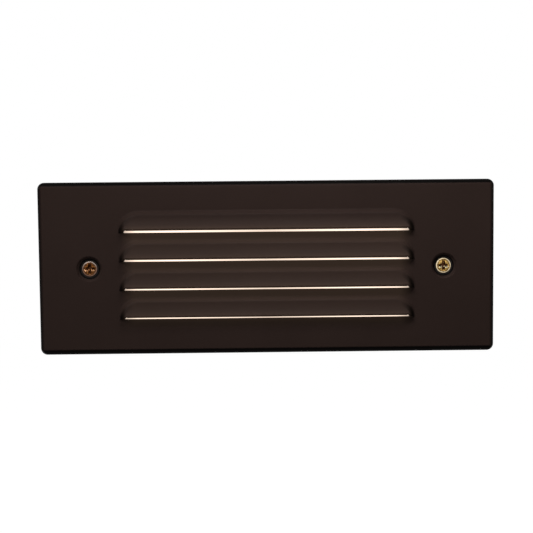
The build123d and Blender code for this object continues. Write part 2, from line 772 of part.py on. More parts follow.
def lamp_lead(side, way):
    """One of the lamp's own wires, folded flat over a face of the wedge."""
    outer = side * lamp_collar_x
    inner = outer - side * lamp_lead_length
    face = lamp_axis_depth + way * wedge_thickness / 2
    middle = way * lamp_lead_offset
    low = middle - lamp_lead_width / 2
    high = middle + lamp_lead_width / 2
    return block(inner, outer, face, face + way * lamp_lead_thickness, low, high)


def lamp_filament(side):
    """The two support wires and the coil between their ends."""
    start = side * bulb_start
    end = side * (bulb_start + filament_height)
    half = filament_support_spacing / 2
    mount = Part()
    for up in SIDES.values():
        mount = mount + rod_x(start, end, lamp_axis_depth, up * half, filament_support_radius)
    coil_length = filament_support_spacing + 2 * filament_coil_overhang
    coil = Pos(end, lamp_axis_depth, 0) * Cylinder(filament_coil_radius, coil_length)
    return mount + coil


# ---- wiring ----------------------------------------------------------------
def arc_radii(points):
    """The radius at each corner, as large as its two straight runs allow."""
    radii = []
    for before, corner, after in zip(points, points[1:], points[2:]):
        first = Vector(*corner) - Vector(*before)
        second = Vector(*after) - Vector(*corner)
        half_turn = math.radians(first.get_angle(second)) / 2
        radii.append(lead_bend_share * min(first.length, second.length) / math.tan(half_turn))
    return radii


def lead_route(side, up):
    """The corners of one lead, from its lampholder to the terminal block."""
    start_z = up * lead_spacing / 2
    end_z = up * terminal_pole_spacing / 2
    layer = clamp_middle + side * lead_step / 2
    drop = grommet_back + lead_drop_share * (layer - grommet_back)
    route = [(side * lead_x, holder_back - lead_entry_depth, start_z), (side * lead_x, drop, start_z)]
    if side < 0:
        route += [(-lead_x - lead_near_step, layer, end_z)]
    else:
        route += [(lead_x - lead_far_step, layer, start_z), (-lead_x, layer, end_z)]
    return route + [(terminal_x + terminal_length / 2 - lead_end_gap, layer, end_z)]


def lead(side, up):
    points = lead_route(side, up)
    radii = arc_radii(points)
    print("lead", side, up, "arc radii", [round(radius, 1) for radius in radii])
    path = FilletPolyline(*points, radius=radii)
    section = Plane(origin=path @ 0, z_dir=path % 0) * Circle(lead_radius)
    tube = sweep(section, path=path)
    share = tube.volume / (math.pi * lead_radius**2 * path.length)
    print("lead", side, up, "volume over section times length", round(share, 5))
    return tube


def copper_end(side, up):
    end = lead_route(side, up)[-1]
    return rod_x(end[0] - copper_length, end[0], end[1], end[2], copper_radius)


def grommet(side):
    x = side * lead_x
    front = bracket_back - grommet_lip
    ring = rod_y(x, 0, front, bracket_back, grommet_radius)
    ring = ring + rod_y(x, 0, bracket_back, reflector_back, grommet_groove_radius - lead_hole_clearance)
    ring = ring + rod_y(x, 0, reflector_back, grommet_back, grommet_radius)
    for up in SIDES.values():
        hole = lead_radius + lead_hole_clearance
        ring = ring - rod_y(x, up * lead_spacing / 2, front - past, grommet_back + past, hole)
    return ring


# ---- terminal block and ground screw ---------------------------------------
def clamp_places():
    """Where each clamp screw sits along the terminal block, and the height of its pole."""
    x = clamp_screw_spacing / 2
    z = terminal_pole_spacing / 2
    return [(-x, -z), (-x, z), (x, -z), (x, z)]


def terminal_block():
    half_x = terminal_length / 2
    half_z = terminal_height / 2
    body = block(terminal_x - half_x, terminal_x + half_x, terminal_front, terminal_back, -half_z, half_z)
    body = chamfer(body.edges().filter_by(Axis.X), terminal_edge)
    slot_y = clamp_depth / 2 + clamp_clearance
    slot_z = clamp_height / 2 + clamp_clearance
    for side in SIDES.values():
        z = side * terminal_pole_spacing / 2
        near = clamp_middle - slot_y
        far = clamp_middle + slot_y
        reach = half_x + past
        channel = block(terminal_x - reach, terminal_x + reach, near, far, z - slot_z, z + slot_z)
        body = body - channel
    for x, z in clamp_places():
        hole = clamp_screw_head_radius + clamp_clearance
        body = body - rod_y(terminal_x + x, z, terminal_front - past, clamp_middle, hole)
    front = terminal_front - past
    body = body - rod_y(terminal_x, 0, front, terminal_back + past, block_screw_radius + thread_clearance)
    sink = terminal_front + block_screw_head_height + block_screw_sink
    return body - rod_y(terminal_x, 0, front, sink, block_screw_head_radius + clamp_clearance)


def terminal_clamp(side):
    z = side * terminal_pole_spacing / 2
    near = clamp_middle - clamp_depth / 2
    far = clamp_middle + clamp_depth / 2
    half = clamp_height / 2
    cage = block(terminal_x - clamp_length / 2, terminal_x + clamp_length / 2, near, far, z - half, z + half)
    slot_y = clamp_slot_depth / 2
    slot_z = clamp_slot_height / 2
    reach = clamp_length
    slot = block(
        terminal_x - reach,
        terminal_x + reach,
        clamp_middle - slot_y,
        clamp_middle + slot_y,
        z - slot_z,
        z + slot_z,
    )
    cage = cage - slot
    for x, screw_z in clamp_places():
        hole = clamp_screw_radius + thread_clearance
        cage = cage - rod_y(terminal_x + x, screw_z, near - past, clamp_middle, hole)
    return cage


def clamp_screw(x, z):
    middle = terminal_x + x
    under = clamp_middle - clamp_depth / 2
    near = under - clamp_screw_head_height
    head = rod_y(middle, z, near, under, clamp_screw_head_radius)
    shank = rod_y(middle, z, under, near + clamp_screw_length, clamp_screw_radius)
    reach = 2 * clamp_screw_head_radius
    half = clamp_screw_slit / 2
    bottom = near + clamp_screw_head_height / 2
    return head + shank - block(middle - reach, middle + reach, near - past, bottom, z - half, z + half)


def terminal_block_screw():
    front = terminal_front + block_screw_sink
    under = front + block_screw_head_height
    head = rod_y(terminal_x, 0, front, under, block_screw_head_radius)
    shank = rod_y(terminal_x, 0, under, box_floor, block_screw_radius)
    depth = block_screw_recess_depth
    width = block_screw_recess_width
    return head + shank - cross_recess(terminal_x, 0, front, depth, block_screw_head_radius, width)


def ground_screw():
    washer_front = ground_front - ground_washer_height
    head_front = washer_front - ground_hex_height
    head = hexagon_y(ground_x, 0, head_front, washer_front, ground_hex)
    washer = rod_y(ground_x, 0, washer_front, ground_front, ground_washer_radius)
    shank = rod_y(ground_x, 0, ground_front, ground_front + ground_screw_length, ground_screw_radius)
    left = ground_x - ground_hex
    right = ground_x + ground_hex
    half = ground_slit / 2
    bottom = head_front + ground_slit
    return head + washer + shank - block(left, right, head_front - past, bottom, -half, half)


# ---- every node of the assembly --------------------------------------------
def group(solids):
    return Compound(children=list(solids))


def nodes():
    corners = clip_corners()
    made = {
        "faceplate": faceplate(),
        "faceplate_gasket": faceplate_gasket(),
        "lens": lens(),
        "lens_gasket": lens_gasket(),
        "lens_clips": group([lens_clip(side, z) for side, z in corners]),
        "lens_clip_studs": group([clip_stud(side, z) for side, z in corners]),
        "lens_clip_nuts": group([clip_nut(side, z) for side, z in corners]),
        "back_box": back_box(),
        "conduit_plug": conduit_plug(),
        "reflector": reflector(),
        "socket_bracket": socket_bracket(),
        "bracket_screws": group([bracket_screw(side) for side in SIDES.values()]),
        "socket_rivets": group([socket_rivet(side, up) for side in (-1, 1) for up in (-1, 1)]),
        "terminal_block": terminal_block(),
        "terminal_clamps": group([terminal_clamp(side) for side in SIDES.values()]),
        "terminal_clamp_screws": group([clamp_screw(x, z) for x, z in clamp_places()]),
        "terminal_block_screw": terminal_block_screw(),
        "ground_screw": ground_screw(),
        "lead_copper_ends": group([copper_end(side, up) for side in (-1, 1) for up in (-1, 1)]),
    }
    for name, side in SIDES.items():
        made["faceplate_screw_" + name] = face_screw(side)
        made["screw_seal_" + name] = screw_seal(side)
        made["lampholder_" + name] = lampholder(side)
        made["lampholder_contacts_" + name] = group([lampholder_contact(side, way) for way in (-1, 1)])
        made["lamp_bulb_" + name] = lamp_bulb(side)
        made["lamp_base_" + name] = lamp_base(side)
        made["lamp_wires_" + name] = group([lamp_lead(side, way) for way in (-1, 1)])
        made["lamp_filament_" + name] = lamp_filament(side)
        made["grommet_" + name] = grommet(side)
        made["lead_upper_" + name] = lead(side, 1)
        made["lead_lower_" + name] = lead(side, -1)
    return made


os.makedirs("parts", exist_ok=True)
for node, shape in nodes().items():
    export_step(shape, "parts/" + node + ".step")
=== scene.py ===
import json
import math

import bmesh
import bpy
import numpy as np
from mathutils import Matrix, Vector


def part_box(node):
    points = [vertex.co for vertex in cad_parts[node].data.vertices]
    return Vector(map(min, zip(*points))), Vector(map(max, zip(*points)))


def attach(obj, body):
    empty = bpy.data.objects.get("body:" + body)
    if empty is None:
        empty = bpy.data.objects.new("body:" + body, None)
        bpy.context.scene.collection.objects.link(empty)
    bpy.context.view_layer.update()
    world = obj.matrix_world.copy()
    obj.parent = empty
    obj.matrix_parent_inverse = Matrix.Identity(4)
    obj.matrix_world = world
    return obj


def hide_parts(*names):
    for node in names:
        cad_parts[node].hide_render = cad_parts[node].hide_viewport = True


# A recessed louvered step light. Shapes are worked out in millimetres and put into the meshes in metres.
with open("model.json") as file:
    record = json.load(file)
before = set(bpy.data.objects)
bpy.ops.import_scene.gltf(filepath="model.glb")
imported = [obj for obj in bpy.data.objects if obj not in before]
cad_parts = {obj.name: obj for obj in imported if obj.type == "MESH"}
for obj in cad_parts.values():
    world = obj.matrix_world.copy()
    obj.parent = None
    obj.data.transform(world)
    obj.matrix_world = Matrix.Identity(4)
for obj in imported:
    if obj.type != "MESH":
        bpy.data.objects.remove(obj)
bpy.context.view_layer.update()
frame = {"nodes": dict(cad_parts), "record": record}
MM = 0.001


def metres(values, start=0.0, sign=1):
    """Millimetres as metres, counted from a start, forwards or backwards."""
    return [(start + sign * value) * MM for value in values]


def node_box(node):
    """The lowest and highest corner of a CAD node in millimetres."""
    low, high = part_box(node)
    return np.array(low) / MM, np.array(high) / MM


# ---- sizes of the faceplate, in millimetres --------------------------------
plate_low, plate_high = node_box("faceplate")
plate_half_width = plate_high[0]
plate_half_height = plate_high[2]
plate_rim = plate_high[1]
plate_back = node_box("faceplate_gasket")[0][1]
plate_sheet = 1.6
plate_front = plate_back - plate_sheet
plate_corner = 3.5
plate_edge = 3.0

louver_count = 4
louver_pitch = 14.83
louver_top_cut = 18.33
louver_half_width = 75.9
louver_height = 11.0
louver_lip_gap = 2.05
louver_lip_lift = plate_front - plate_low[1]
louver_crest_lift = 2.2
louver_curve = 2.8
louver_end_length = 10.5
louver_side_slope = 1.4
louver_bend = 1.0
louver_foot = 0.7

screw_x = 91.3
screw_head_low = node_box("faceplate_screw_right")[0][1]
screw_tip = node_box("faceplate_screw_right")[1][1]
screw_head_radius = 3.92
screw_head_dome = 0.55
screw_rim = screw_head_low + screw_head_dome
screw_shank_radius = 2.08
screw_cone_angle = math.radians(41)
screw_tip_radius = 1.3
thread_pitch = 0.794
thread_depth = 0.42
recess_reach = 2.95
recess_depth_most = 2.1
recess_half_width = 0.86
recess_wall = 0.5
dimple_radius = 6.3
dimple_seat_radius = 4.9
dimple_hole_radius = 2.55
dimple_lip = 0.45
dimple_brim = 0.7
window_half = 9.0

filament_turns = 14
filament_half_length = 3.0
filament_wire_radius = 0.11
filament_support_radius = 0.25

# ---- places of the finishes; a pair is where a change starts and ends --------
# the lens, in millimetres from the middle of the plate
lamp_x = 48.5
lit_half_width = 73.6
lens_end_fade = 6.0
lens_border_blur = 0.35

# painted shade on the coat, nearly black: from the arc's start, the plate's end and the screws' axes; the
# rise makes it wider at the bottom
rim_shade_rise = 0.4
rim_shade_widening = 1.2
rim_shade = (0.75, 1.45)
end_shade = (2.6, 1.1)
end_shade_share = 0.95
dimple_shade = (5.1, 5.7)

# painted shade in the creases at the hoods' ends, in shares of the end's ellipse; the height and the zone are
# millimetres
crease_height = 8.6
crease_at = 0.87
crease_width = (0.07, 0.17)
crease_reach = (0.3, 0.82)
crease_shade_share = 0.97
crease_shade_left_share = 0.55
crease_left_fade = (0.2, 0.5)
hood_zone = (30.0, 31.0)

# the slots' light painted on the coat as emission: strengths, and distances from the top cut, the last cut
# and the lit end
glow_strength = 0.027
glow_over_top_cut = (2.0, 8.0)
glow_under_last_cut = (6.0, 1.0)
glow_under_share = 0.7
glow_end_fade = (5.0, -1.5)
glow_last_slot = (0.8, 0.0)
glow_top_to_last = 1.5
# (share of the pitch above a cut edge, strength there)
glow_along_pitch = [
    (0.0, 0.66), (0.14, 0.58), (0.28, 0.26), (0.58, 0.22), (0.68, 0.46), (0.80, 0.68), (1.0, 0.78)]

# the screw heads: radii, and the painted highlight on the shelf of the recess, in millimetres from the
# screw's axis
brass_middle = (3.2, 3.45)
# the radius of a ring of painted shade on the head
brass_groove = 3.1
# radii of the painted shade on the head's edge
brass_edge_shade = (3.72, 3.85)
brass_recess_cone = 3.4
left_ring_light_height = (-1.0, 3.2)
shelf_z = -0.72
shelf_height = (0.24, 0.40)
shelf_start = (0.35, 0.65)
shelf_end = (2.2, 2.6)


# ---- meshes from arrays ----------------------------------------------------
def grid_quads(rows, columns, first=0, around=False):
    """Corner numbers of a grid's quads, row after row; around joins the last column to the first."""
    spans = columns if around else columns - 1
    row = np.arange(rows - 1)[:, None] * columns
    left = np.arange(spans)[None, :]
    right = (left + 1) % columns
    quads = np.stack([row + left, row + right, row + columns + right, row + columns + left], axis=-1)
    return quads.reshape(-1, 4) + first


def mesh_of(name, sheets, merge=0.002):
    """A mesh of sheets of points; a sheet is (points[rows, columns, 3], around, kept quads or None)."""
    points, faces, first = [], [], 0
    for sheet, around, kept in sheets:
        rows, columns = sheet.shape[:2]
        quads = grid_quads(rows, columns, first, around)
        if kept is not None:
            quads = quads[kept.ravel()]
        points.append(sheet.reshape(-1, 3))
        faces.append(quads)
        first += rows * columns
    used, faces = np.unique(np.concatenate(faces), return_inverse=True)
    faces = faces.reshape(-1, 4)
    points = np.concatenate(points)[used] * MM
    mesh = bpy.data.meshes.new(name)
    mesh.vertices.add(len(points))
    mesh.vertices.foreach_set("co", points.astype(np.float32).ravel())
    mesh.loops.add(faces.size)
    mesh.loops.foreach_set("vertex_index", faces.astype(np.int32).ravel())
    mesh.polygons.add(len(faces))
    mesh.polygons.foreach_set("loop_start", np.arange(0, faces.size, 4, dtype=np.int32))
    mesh.update(calc_edges=True)
    mesh.validate()
    work = bmesh.new()
    work.from_mesh(mesh)
    bmesh.ops.remove_doubles(work, verts=work.verts, dist=merge * MM)
    bmesh.ops.dissolve_degenerate(work, edges=work.edges, dist=merge * MM / 2)
    bmesh.ops.recalc_face_normals(work, faces=work.faces)
    work.to_mesh(mesh)
    work.free()
    return mesh


def piece(name, mesh, material, body, stands_for, crease=40):
    """A finished piece that rides on a body and takes the place of CAD nodes."""
    mesh.shade_smooth()
    mesh.set_sharp_from_angle(angle=math.radians(crease))
    made = bpy.data.objects.new(name, mesh)
    bpy.context.scene.collection.objects.link(made)
    made.data.materials.append(material)
    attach(made, body)
    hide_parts(*stands_for)


def outwards(mesh, centre):
    """Turns the faces round if the first face looks towards the given point."""
    face = mesh.polygons[0]
    if (face.center - Vector(centre)).dot(face.normal) < 0:
        mesh.flip_normals()


# ---- procedural materials --------------------------------------------------
class Finish:
    """A material with its shader, and short ways to add patterns in Object coordinates."""

    def __init__(self, name, colour, roughness, metallic=0.0, specular=0.5):
        self.material = bpy.data.materials.new(name)
        self.material.use_nodes = True
        self.nodes = self.material.node_tree.nodes
        self.links = self.material.node_tree.links
        self.shader = self.nodes["Principled BSDF"]
        self.shader.inputs["Base Color"].default_value = (*colour, 1)
        self.shader.inputs["Roughness"].default_value = roughness
        self.shader.inputs["Metallic"].default_value = metallic
        self.shader.inputs["Specular IOR Level"].default_value = specular
        self.place = self.nodes.new("ShaderNodeTexCoord").outputs["Object"]

    def set(self, socket, value):
        """A constant on the shader's own socket."""
        self.shader.inputs[socket].default_value = value

    def join(self, source, socket):
        """A pattern into one of the shader's sockets."""
        self.links.new(source, self.shader.inputs[socket])

    def stretched(self, scale):
        """The Object coordinates, scaled along each axis."""
        mapping = self.nodes.new("ShaderNodeMapping")
        mapping.inputs["Scale"].default_value = scale
        self.links.new(self.place, mapping.inputs["Vector"])
        return mapping.outputs["Vector"]

    def noise(self, size, detail=4.0, roughness=0.5, vector=None):
        """Noise whose blobs are about size millimetres across."""
        node = self.nodes.new("ShaderNodeTexNoise")
        node.inputs["Scale"].default_value = 1 / (size * MM)
        node.inputs["Detail"].default_value = detail
        node.inputs["Roughness"].default_value = roughness
        self.links.new(vector or self.place, node.inputs["Vector"])
        return node.outputs["Fac"]

    def cells(self, size):
        """The distance to the nearest of scattered points about size millimetres apart."""
        node = self.nodes.new("ShaderNodeTexVoronoi")
        node.inputs["Scale"].default_value = 1 / (size * MM)
        self.links.new(self.place, node.inputs["Vector"])
        return node.outputs["Distance"]

    def ramp(self, source, stops):
        """Colours between values: stops is a list of (value, colour)."""
        node = self.nodes.new("ShaderNodeValToRGB")
        ramp = node.color_ramp
        while len(ramp.elements) < len(stops):
            ramp.elements.new(0.5)
        for element, (at, colour) in zip(ramp.elements, stops):
            element.position = at
            element.color = (*colour, 1)
        self.links.new(source, node.inputs["Fac"])
        return node.outputs["Color"]

    def spread(self, source, low, high, from_low=0.3, from_high=0.7):
        """A pattern's value brought between two numbers."""
        node = self.nodes.new("ShaderNodeMapRange")
        node.inputs["From Min"].default_value = from_low
        node.inputs["From Max"].default_value = from_high
        node.inputs["To Min"].default_value = low
        node.inputs["To Max"].default_value = high
        self.links.new(source, node.inputs["Value"])
        return node.outputs["Result"]

    def along(self, axis):
        """One of the Object coordinates."""
        split = self.nodes.new("ShaderNodeSeparateXYZ")
        self.links.new(self.place, split.inputs["Vector"])
        return split.outputs[axis]

    def calc(self, operation, *terms):
        """Arithmetic on patterns and numbers."""
        node = self.nodes.new("ShaderNodeMath")
        node.operation = operation
        for term, socket in zip(terms, node.inputs):
            if isinstance(term, (int, float)):
                socket.default_value = term
            else:
                self.links.new(term, socket)
        return node.outputs["Value"]

    def product(self, *terms):
        """The product of patterns and numbers."""
        total = terms[0]
        for term in terms[1:]:
            total = self.calc("MULTIPLY", total, term)
        return total

    def most(self, *terms):
        """The largest of several patterns."""
        total = terms[0]
        for term in terms[1:]:
            total = self.calc("MAXIMUM", total, term)
        return total

    def away(self, term, place):
        """How far a coordinate or pattern is from a number."""
        return self.calc("ABSOLUTE", self.calc("SUBTRACT", term, place))

    def length(self, first, second):
        """The square root of the sum of two squares."""
        squares = [self.calc("POWER", term, 2) for term in (first, second)]
        return self.calc("SQRT", self.calc("ADD", *squares))

    def side(self):
        """The distance from the middle of the plate, left or right."""
        return self.calc("ABSOLUTE", self.along("X"))

    def from_screw(self):
        """The distance from the axis of the nearer faceplate screw."""
        return self.length(self.calc("SUBTRACT", self.side(), screw_x * MM), self.along("Z"))

    def blend(self, share, first, second):
        """Two colours or colour patterns, mixed by a share from 0 to 1."""
        node = self.nodes.new("ShaderNodeMix")
        node.data_type = "RGBA"
        self.links.new(share, node.inputs["Factor"])
        for colour, socket in ((first, node.inputs[6]), (second, node.inputs[7])):
            if isinstance(colour, tuple):
                socket.default_value = (*colour, 1)
            else:
                self.links.new(colour, socket)
        return node.outputs[2]

    def bumps(self, *layers):
        """Bump layers of (height pattern, depth in millimetres), one on top of the other."""
        normal = None
        for height, depth in layers:
            node = self.nodes.new("ShaderNodeBump")
            node.inputs["Strength"].default_value = 1.0
            node.inputs["Distance"].default_value = depth * MM
            self.links.new(height, node.inputs["Height"])
            if normal is not None:
                self.links.new(normal, node.inputs["Normal"])
            normal = node.outputs["Normal"]
        self.links.new(normal, self.shader.inputs["Normal"])


def shade(colour, factor):
    """A colour times a number, with each channel at most 1."""
    return tuple(min(1.0, c * factor) for c in colour)


def powder_coat(name, colour, roughness=0.5, specular=0.02):
    """Powder coat: an even satin film with a faint orange peel and a slight change of tone."""
    finish = Finish(name, colour, roughness, specular=specular)
    tone = finish.noise(38, 3)
    finish.join(finish.ramp(tone, [(0.3, shade(colour, 0.95)), (0.7, shade(colour, 1.05))]), "Base Color")
    grain = finish.noise(6, 5)
    finish.join(finish.spread(grain, roughness - 0.03, roughness + 0.03), "Roughness")
    finish.bumps((finish.noise(1.6, 2), 0.006), (finish.noise(0.25, 2), 0.0012))
    return finish


def rim_painted_shade(finish):
    """Painted shade: 1 on the folded rim, by the length of what |x| and |z| have beyond the start of the
    corner's arc.
    """
    side = finish.side()
    level = finish.away(finish.along("Z"), rim_shade_rise * MM)
    beyond = []
    for distance, half in ((side, plate_half_width + rim_shade_widening), (level, plate_half_height)):
        past = finish.calc("SUBTRACT", distance, (half - plate_corner) * MM)
        beyond.append(finish.calc("MAXIMUM", past, 0))
    rim = finish.spread(finish.length(*beyond), 0, 1, *metres(rim_shade))
    ends = finish.spread(side, 0, end_shade_share, *metres(end_shade, plate_half_width, -1))
    return finish.most(rim, ends)


def hood_end_crease_shade(finish, phase):
    """1 in the crease at a hood's end, where the length of the two shares of its ellipse is near one number.

    It is painted shade, and fades along the ellipse towards the crest. On the left, where the light falls,
    it is weaker away from the slot.
    """
    out = finish.calc("SUBTRACT", finish.side(), (louver_half_width - louver_end_length) * MM)
    out = finish.calc("DIVIDE", finish.calc("MAXIMUM", out, 0), louver_end_length * MM)
    up = finish.calc("MULTIPLY", phase, louver_pitch / crease_height)
    line = finish.spread(finish.away(finish.length(out, up), crease_at), crease_shade_share, 0, *crease_width)
    reach = finish.spread(out, 0, 1, *crease_reach)
    hooded = finish.spread(finish.calc("ABSOLUTE", finish.along("Z")), 1, 0, *metres(hood_zone))
    right = finish.spread(finish.along("X"), 0, 1, -MM, MM)
    near_slot = finish.spread(up, 1, crease_shade_left_share, *crease_left_fade)
    return finish.product(line, reach, hooded, finish.most(right, near_slot))


def painted_slot_glow(finish, phase):
    """The strength of the slots' light, painted on the coat as emission.

    It follows the share of the louvers' pitch that a point lies above the nearest cut edge below it, ends
    above the first hood, under the last slot and beside the slots, and is stronger towards the top.
    """
    last_cut = louver_top_cut - (louver_count - 1) * louver_pitch
    height = finish.along("Z")
    fall = finish.ramp(phase, [(at, (share,) * 3) for at, share in glow_along_pitch])
    above = finish.spread(height, 1, 0, *metres(glow_over_top_cut, louver_top_cut))
    below = finish.spread(height, 0, glow_under_share, *metres(glow_under_last_cut, last_cut, -1))
    within = finish.spread(height, 0, 1, *metres(glow_last_slot, last_cut, -1))
    in_width = finish.spread(finish.side(), 1, 0, *metres(glow_end_fade, lit_half_width, -1))
    rank = finish.spread(height, 1.0, glow_top_to_last, *metres((last_cut, louver_top_cut)))
    return finish.product(fall, in_width, above, finish.most(below, within), rank, glow_strength)


def faceplate_coat(name, colour, glow):
    """The faceplate's coat: painted shade, nearly black, on the rim, dimples and creases; the slots' light
    painted as emission.
    """
    finish = powder_coat(name, colour)
    face = finish.shader.inputs["Base Color"].links[0].from_socket
    up = finish.calc("SUBTRACT", finish.along("Z"), louver_top_cut * MM)
    phase = finish.calc("FRACT", finish.calc("DIVIDE", up, louver_pitch * MM))
    # painted shade in the bowl of each screw's dimple
    bowl = finish.spread(finish.from_screw(), 1, 0, *metres(dimple_shade))
    painted_shade = finish.most(rim_painted_shade(finish), bowl, hood_end_crease_shade(finish, phase))
    finish.join(finish.blend(painted_shade, face, shade(colour, 0.04)), "Base Color")
    finish.join(painted_slot_glow(finish, phase), "Emission Strength")
    finish.set("Emission Color", (*glow, 1))
    return finish


def recess_shelf_highlight(finish):
    """Painted highlight: 1 on the lower edges of the recess's two level arms, left and right of the screw's
    axis.
    """
    out = finish.away(finish.side(), screw_x * MM)
    lower = finish.spread(finish.away(finish.along("Z"), shelf_z * MM), 1, 0, *metres(shelf_height))
    return finish.product(lower, finish.spread(out, 0, 1, *metres(shelf_start)),
                          finish.spread(out, 1, 0, *metres(shelf_end)))


def faceplate_screw_brass(name, rim, patina, recess_shade):
    """Brass whose head has a bright outer ring, a browned middle, and painted shade in the cross recess, in a
    ring at the groove and on the edge, with painted highlights on the recess's lower walls.

    Both screws share it, by the distance from their axes. The left one is browner, painted as a shaded copy,
    and its ring has painted highlight at the top and painted shade below. The recess is what lies under the
    head's face and inside a cone.
    """
    finish = turned_metal(name, rim, 0.32, 0.8)
    ring = finish.shader.inputs["Base Color"].links[0].from_socket
    radius = finish.from_screw()
    left = finish.spread(finish.along("X"), 1, 0, -MM, MM)
    ripple = finish.calc("ADD", radius, finish.spread(finish.noise(1.2, 3), *metres((-0.2, 0.2))))
    middle = finish.spread(ripple, 1, 0, *metres(brass_middle))
    # a thin dark ring of painted shade
    groove_shade = finish.spread(finish.away(ripple, brass_groove * MM), 0.85, 0, 0, 0.45 * MM)
    cloud = finish.ramp(finish.noise(0.9, 5, 0.65), [
        (0.36, shade(patina, 0.3)), (0.52, patina), (0.66, shade(patina, 2.2))])
    # the left screw's middle: a darker, browner copy of the same brass, painted shade
    brown = finish.ramp(finish.noise(0.8, 5, 0.65), [
        (0.36, (0.035, 0.012, 0.004)), (0.54, (0.11, 0.038, 0.009)), (0.68, (0.36, 0.15, 0.045))])
    # the left screw's ring: painted highlight at the top and painted shade below
    below = finish.spread(finish.along("Z"), 1, 0, *metres(left_ring_light_height))
    left_ring_light_and_shade = finish.blend(left, ring, finish.blend(below, (0.30, 0.245, 0.215), (0.18, 0.10, 0.07)))
    tone = finish.blend(middle, left_ring_light_and_shade, finish.blend(left, cloud, brown))
    tone = finish.blend(groove_shade, tone, (0.06, 0.03, 0.015))
    # the head's edge, painted dark as shade
    tone = finish.blend(finish.spread(radius, 0, 1, *metres(brass_edge_shade)), tone, (0.02, 0.012, 0.006))
    # the cross recess, coloured dark as painted shade
    depth = finish.calc("SUBTRACT", finish.along("Y"), screw_rim * MM)
    cone = finish.calc("SUBTRACT", brass_recess_cone * MM, finish.calc("ADD", depth, radius))
    inside = finish.product(finish.spread(cone, 0, 1, 0, 0.3 * MM), finish.spread(depth, 0, 1, 0, 0.4 * MM))
    # painted highlights on the recess's lower walls, which face up towards the light
    shelf_highlight = finish.blend(left, (1.0, 0.92, 0.62), (0.90, 0.50, 0.25))
    head = finish.blend(recess_shelf_highlight(finish), finish.blend(inside, tone, recess_shade), shelf_highlight)
    finish.join(head, "Base Color")
    return finish


def turned_metal(name, colour, roughness=0.3, tarnish=0.8, lathe=0.004):
    """Metal turned or drawn: fine rings along the axis into the wall, and patches of tarnish."""
    finish = Finish(name, colour, roughness, metallic=1.0)
    patches = finish.noise(3.0, 5, 0.6)
    finish.join(finish.ramp(patches, [(0.35, shade(colour, tarnish)), (0.62, colour)]), "Base Color")
    finish.join(finish.spread(finish.noise(1.1, 5), roughness - 0.06, roughness + 0.1), "Roughness")
    rings = finish.noise(0.5, 3, vector=finish.stretched((1, 6, 1)))
    finish.bumps((rings, lathe), (finish.noise(0.12, 2), 0.0015))
    return finish


def plated_steel(name, colour, roughness=0.32):
    """Zinc plate: bright grey with a faint crystalline mottle."""
    finish = Finish(name, colour, roughness, metallic=1.0)
    mottle = finish.cells(1.4)
    finish.join(finish.ramp(mottle, [(0.0, shade(colour, 0.86)), (0.8, shade(colour, 1.06))]), "Base Color")
    finish.join(finish.spread(finish.noise(2.2, 4), roughness - 0.06, roughness + 0.1), "Roughness")
    finish.bumps((finish.noise(0.3, 3), 0.003))
    return finish


def rolled_metal(name, colour, roughness, along):
    """Rolled sheet: long fine scratches along one direction."""
    finish = Finish(name, colour, roughness, metallic=1.0)
    lines = finish.noise(0.35, 4, vector=finish.stretched(along))
    finish.join(finish.ramp(lines, [(0.3, shade(colour, 0.9)), (0.7, shade(colour, 1.05))]), "Base Color")
    finish.join(finish.spread(lines, roughness - 0.06, roughness + 0.08), "Roughness")
    finish.bumps((lines, 0.003))
    return finish


def cast_metal(name, colour, roughness=0.55):
    """Die-cast aluminium: a sandy skin, soft waves and darker flow marks."""
    finish = Finish(name, colour, roughness, metallic=0.6, specular=0.3)
    flow = finish.noise(24, 5, 0.6)
    finish.join(finish.ramp(flow, [(0.3, shade(colour, 0.8)), (0.7, shade(colour, 1.08))]), "Base Color")
    finish.join(finish.spread(finish.noise(4, 4), roughness - 0.08, roughness + 0.1), "Roughness")
    finish.bumps((finish.noise(7, 3), 0.05), (finish.cells(0.9), 0.012), (finish.noise(0.35, 2), 0.008))
    return finish


def moulded_rubber(name, colour, roughness=0.85, grain=0.6):
    """Rubber: matt, with fine grain and a dusty bloom."""
    finish = Finish(name, colour, roughness, specular=0.1)
    bloom = finish.noise(9, 5, 0.6)
    finish.join(finish.ramp(bloom, [(0.35, shade(colour, 0.8)), (0.7, shade(colour, 1.5))]), "Base Color")
    finish.bumps((finish.noise(grain, 3), 0.02), (finish.noise(0.15, 2), 0.006))
    return finish


def moulded_plastic(name, colour, roughness=0.45, grain=0.3):
    """Moulded plastic: an even colour with faint flow clouds and a fine spark texture."""
    finish = Finish(name, colour, roughness)
    cloud = finish.noise(14, 3)
    finish.join(finish.ramp(cloud, [(0.3, shade(colour, 0.94)), (0.7, shade(colour, 1.05))]), "Base Color")
    finish.join(finish.spread(finish.noise(3, 3), roughness - 0.05, roughness + 0.06), "Roughness")
    finish.bumps((finish.noise(grain, 2), 0.008))
    return finish


def glass(name, colour, roughness=0.0):
    """Blown glass with slight waves."""
    finish = Finish(name, colour, roughness)
    finish.set("Transmission Weight", 1.0)
    finish.set("IOR", 1.5)
    waves = finish.noise(9, 2)
    finish.join(finish.ramp(waves, [(0.3, shade(colour, 0.97)), (0.7, colour)]), "Base Color")
    finish.bumps((waves, 0.02))
    return finish


